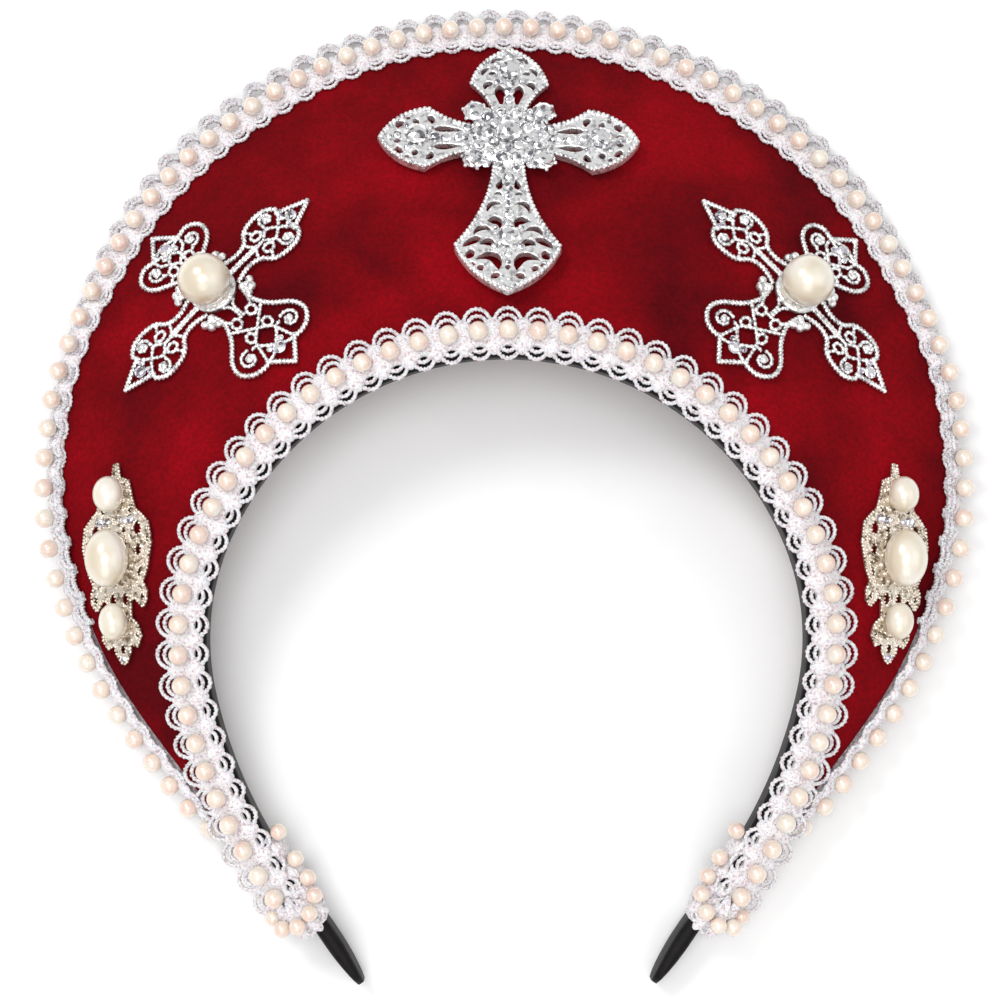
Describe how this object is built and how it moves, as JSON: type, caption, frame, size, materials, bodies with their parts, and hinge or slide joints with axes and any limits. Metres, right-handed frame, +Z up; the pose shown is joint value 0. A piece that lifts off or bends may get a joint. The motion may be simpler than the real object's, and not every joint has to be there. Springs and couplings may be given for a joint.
{
  "type": "crown headdress",
  "caption": "Stiff crescent crown on a satin hairband, covered in velvet, edged with pearl-beaded lace and set with a pierced rhinestone cross, filigree crosses and pearl drops.",
  "frame": {"origin": "centre of the bounding box's base, on the surface that the crown lies on", "axes": "+Z up from that surface, +Y towards the top of the crown as worn, +X to the right as seen from the front"},
  "size_m": [0.2144, 0.2262, 0.0382],
  "materials": {
    "black_satin": "black satin ribbon wrapped on a plastic band",
    "red_velvet": "deep red velvet over stiff board",
    "white_lace": "white iridescent crocheted lace braid",
    "bead_pearl": "small ivory-pink imitation pearls",
    "silver_plate": "bright silver plate",
    "crystal": "clear foil-backed rhinestone",
    "cabochon_pearl": "cream imitation pearl"
  },
  "bodies": {
    "root": {"hairband": "black_satin", "crown_plate": "red_velvet", "inner_lace_braid": "white_lace", "outer_lace_braid": "white_lace", "left_braid_tail": "white_lace", "right_braid_tail": "white_lace", "inner_pearl_string": "bead_pearl", "outer_pearl_string": "bead_pearl", "centre_cross": "silver_plate", "cross_stone_boss": "crystal", "cross_stone_arm_right": "crystal", "cross_stone_arm_top": "crystal", "cross_stone_arm_left": "crystal", "cross_stone_arm_bottom": "crystal", "cross_stone_corner_1": "crystal", "cross_stone_corner_2": "crystal", "cross_stone_corner_3": "crystal", "cross_stone_corner_4": "crystal", "left_filigree_cross": "silver_plate", "left_drop": "silver_plate", "left_cross_pearl": "cabochon_pearl", "left_drop_pearl_top": "cabochon_pearl", "left_drop_pearl_middle": "cabochon_pearl", "left_drop_pearl_bottom": "cabochon_pearl", "right_filigree_cross": "silver_plate", "right_drop": "silver_plate", "right_cross_pearl": "cabochon_pearl", "right_drop_pearl_top": "cabochon_pearl", "right_drop_pearl_middle": "cabochon_pearl", "right_drop_pearl_bottom": "cabochon_pearl"}
  },
  "joints": []
}
